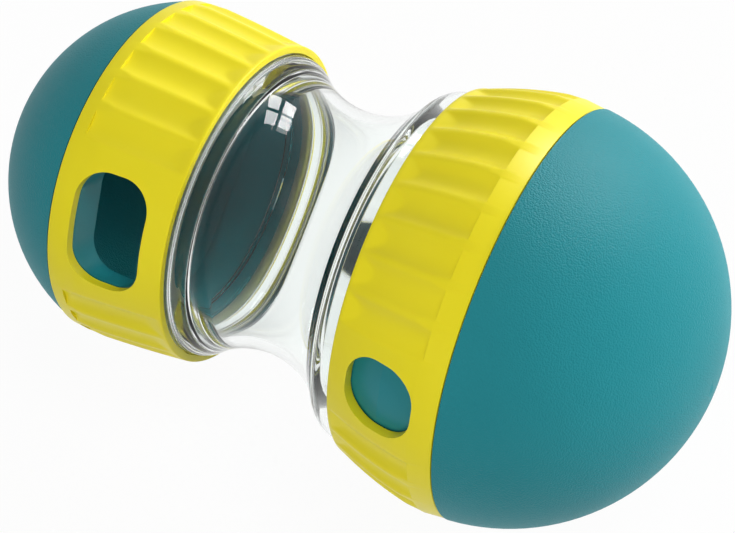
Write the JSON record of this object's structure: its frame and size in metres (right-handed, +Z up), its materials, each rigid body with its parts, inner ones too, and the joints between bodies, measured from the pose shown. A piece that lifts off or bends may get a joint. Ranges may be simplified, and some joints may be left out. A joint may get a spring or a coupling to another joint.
{
  "type": "treat dispensing toy",
  "caption": "Rolling treat dispenser for a pet: clear hollow waist, screw-on teal domes and fluted yellow adjuster rings that open or close an outlet at each end.",
  "frame": {"origin": "on the floor, under the middle of the object's box", "axes": "+X along the toy towards its large end, +Z up"},
  "size_m": [0.159, 0.0902, 0.0899],
  "materials": {
    "clear": "clear and polished",
    "teal": "fine leather-like mould texture on the domes, smooth under the rings",
    "yellow": "satin",
    "seal": "matte"
  },
  "bodies": {
    "clear_waist": {"clear_waist": "clear"},
    "large_cup": {"large_cup": "teal"},
    "large_ring": {"large_ring": "yellow"},
    "large_seal": {"large_seal": "seal"},
    "small_cup": {"small_cup": "teal"},
    "small_ring": {"small_ring": "yellow"},
    "small_seal": {"small_seal": "seal"}
  },
  "joints": [
    {"name": "large_cup_advance", "type": "slide", "parent": "clear_waist", "child": "large_seal", "axis": [0.9962, 0, 0.0871], "range_m": [0, 0.0054]},
    {"name": "large_cup_unscrew", "type": "hinge", "parent": "large_seal", "child": "large_cup", "pos_m": [-0.00474, 0, 0.04143], "axis": [0.9962, 0, 0.0871], "range_deg": [0, 540]},
    {"name": "large_ring_turn", "type": "hinge", "parent": "large_cup", "child": "large_ring", "pos_m": [-0.00474, 0, 0.04143], "axis": [0.9962, 0, 0.0871], "continuous": true},
    {"name": "small_cup_advance", "type": "slide", "parent": "clear_waist", "child": "small_seal", "axis": [-0.9962, 0, -0.0871], "range_m": [0, 0.0054]},
    {"name": "small_cup_unscrew", "type": "hinge", "parent": "small_seal", "child": "small_cup", "pos_m": [-0.00474, 0, 0.04143], "axis": [-0.9962, 0, -0.0871], "range_deg": [0, 540]},
    {"name": "small_ring_turn", "type": "hinge", "parent": "small_cup", "child": "small_ring", "pos_m": [-0.00474, 0, 0.04143], "axis": [-0.9962, 0, -0.0871], "continuous": true}
  ],
  "couplings": [
    {"joint": "large_cup_advance", "follows": "large_cup_unscrew", "m_per_rad": 0.00057296},
    {"joint": "small_cup_advance", "follows": "small_cup_unscrew", "m_per_rad": 0.00057296}
  ]
}
